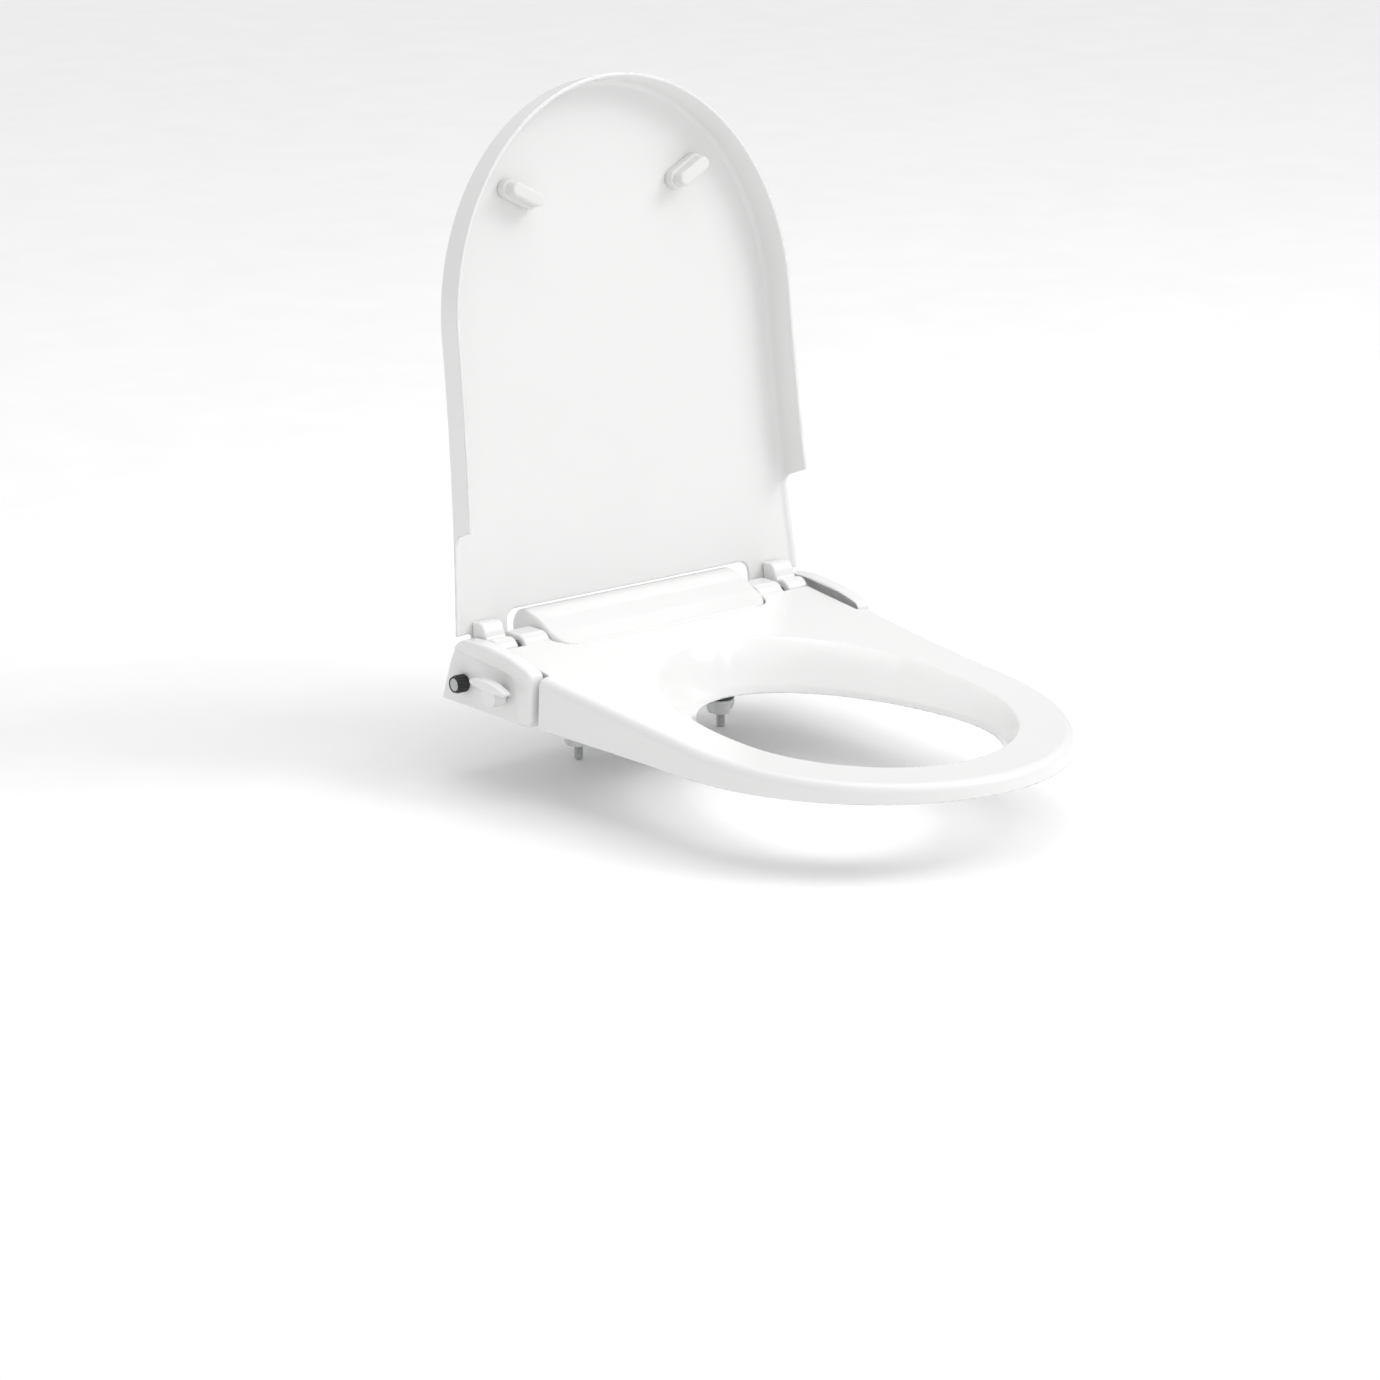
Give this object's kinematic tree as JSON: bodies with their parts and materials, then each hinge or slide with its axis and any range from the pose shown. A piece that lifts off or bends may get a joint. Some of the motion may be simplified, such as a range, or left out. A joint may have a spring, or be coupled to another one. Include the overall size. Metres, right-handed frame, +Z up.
{
  "type": "bidet toilet seat",
  "caption": "Slim bidet seat worked by water pressure: dished seat ring and skirted lid hinged on a low housing with wash nozzles, side control lever and water inlet.",
  "frame": {"origin": "on the bowl's rim plane, midway between the two bowl bolts and straight under the hinge axis", "axes": "+X to the right seen from the front, -Y to the front of the bowl, +Z up"},
  "size_m": [0.39, 0.532, 0.5698],
  "materials": {
    "white_gloss": "smooth glossy moulding",
    "inner_white": "satin moulding",
    "pale_grey": "satin moulding",
    "black_plastic": "satin moulding",
    "rubber_white": "soft matt rubber",
    "rubber_grey": "soft matt rubber",
    "hose_clear": "milky soft tube",
    "steel": "plain bright steel"
  },
  "bodies": {
    "base": {"mounting_plate": "steel", "base_tray": "inner_white", "hump_cover": "white_gloss", "valve_body": "inner_white", "inlet_nipple": "inner_white", "inlet_nut": "black_plastic", "inlet_cap": "pale_grey", "hose_rear": "hose_clear", "hose_front": "hose_clear", "side_cover_left": "white_gloss", "side_cover_right": "white_gloss", "bolt_left": "steel", "bolt_right": "steel", "rubber_cone_left": "rubber_grey", "rubber_cone_right": "rubber_grey", "wing_nut_left": "inner_white", "wing_nut_right": "inner_white", "hinge_bracket_left": "inner_white", "hinge_bracket_right": "inner_white", "hinge_pin_left": "steel", "hinge_pin_right": "steel", "seat_damper": "pale_grey", "lid_damper": "pale_grey", "screw_left_front": "steel", "screw_left_rear": "steel", "screw_right_front": "steel", "screw_right_rear": "steel", "nozzle_housing": "inner_white", "nozzle_shield": "white_gloss"},
    "lid": {"lid_shell": "white_gloss", "lid_knuckle_left": "white_gloss", "lid_knuckle_right": "white_gloss", "lid_bumper_left": "rubber_white", "lid_bumper_right": "rubber_white"},
    "seat": {"seat_top": "white_gloss", "seat_under": "inner_white", "seat_bush_left": "pale_grey", "seat_bush_right": "pale_grey", "seat_bumper_left_rear": "rubber_white", "seat_bumper_left_front": "rubber_white", "seat_bumper_right_rear": "rubber_white", "seat_bumper_right_front": "rubber_white"},
    "control_lever": {"lever": "white_gloss", "lever_spindle": "inner_white"},
    "rear_nozzle": {"nozzle_rear": "white_gloss"},
    "front_nozzle": {"nozzle_front": "white_gloss"},
    "release": {"release_button": "white_gloss", "latch_bar": "inner_white"}
  },
  "joints": [
    {"name": "lid_hinge", "type": "hinge", "parent": "base", "child": "lid", "pos_m": [0, 0, 0.05], "axis": [-1, 0, 0], "range_deg": [-100.9, 0]},
    {"name": "seat_hinge", "type": "hinge", "parent": "base", "child": "seat", "pos_m": [0, 0, 0.05], "axis": [-1, 0, 0], "range_deg": [0, 95]},
    {"name": "lever_turn", "type": "hinge", "parent": "base", "child": "control_lever", "pos_m": [-0.19, -0.035, 0.025], "axis": [1, 0, 0], "range_deg": [-35, 35]},
    {"name": "rear_nozzle_slide", "type": "slide", "parent": "base", "child": "rear_nozzle", "axis": [0, -0.9272, -0.3746], "range_m": [0, 0.07], "stiffness_N_per_m": 20, "springref_m": -0.01},
    {"name": "front_nozzle_slide", "type": "slide", "parent": "base", "child": "front_nozzle", "axis": [0, -0.9272, -0.3746], "range_m": [0, 0.07], "stiffness_N_per_m": 20, "springref_m": -0.01},
    {"name": "release_press", "type": "slide", "parent": "base", "child": "release", "axis": [-1, 0, 0], "range_m": [0, 0.004], "stiffness_N_per_m": 300, "springref_m": -0.002}
  ]
}
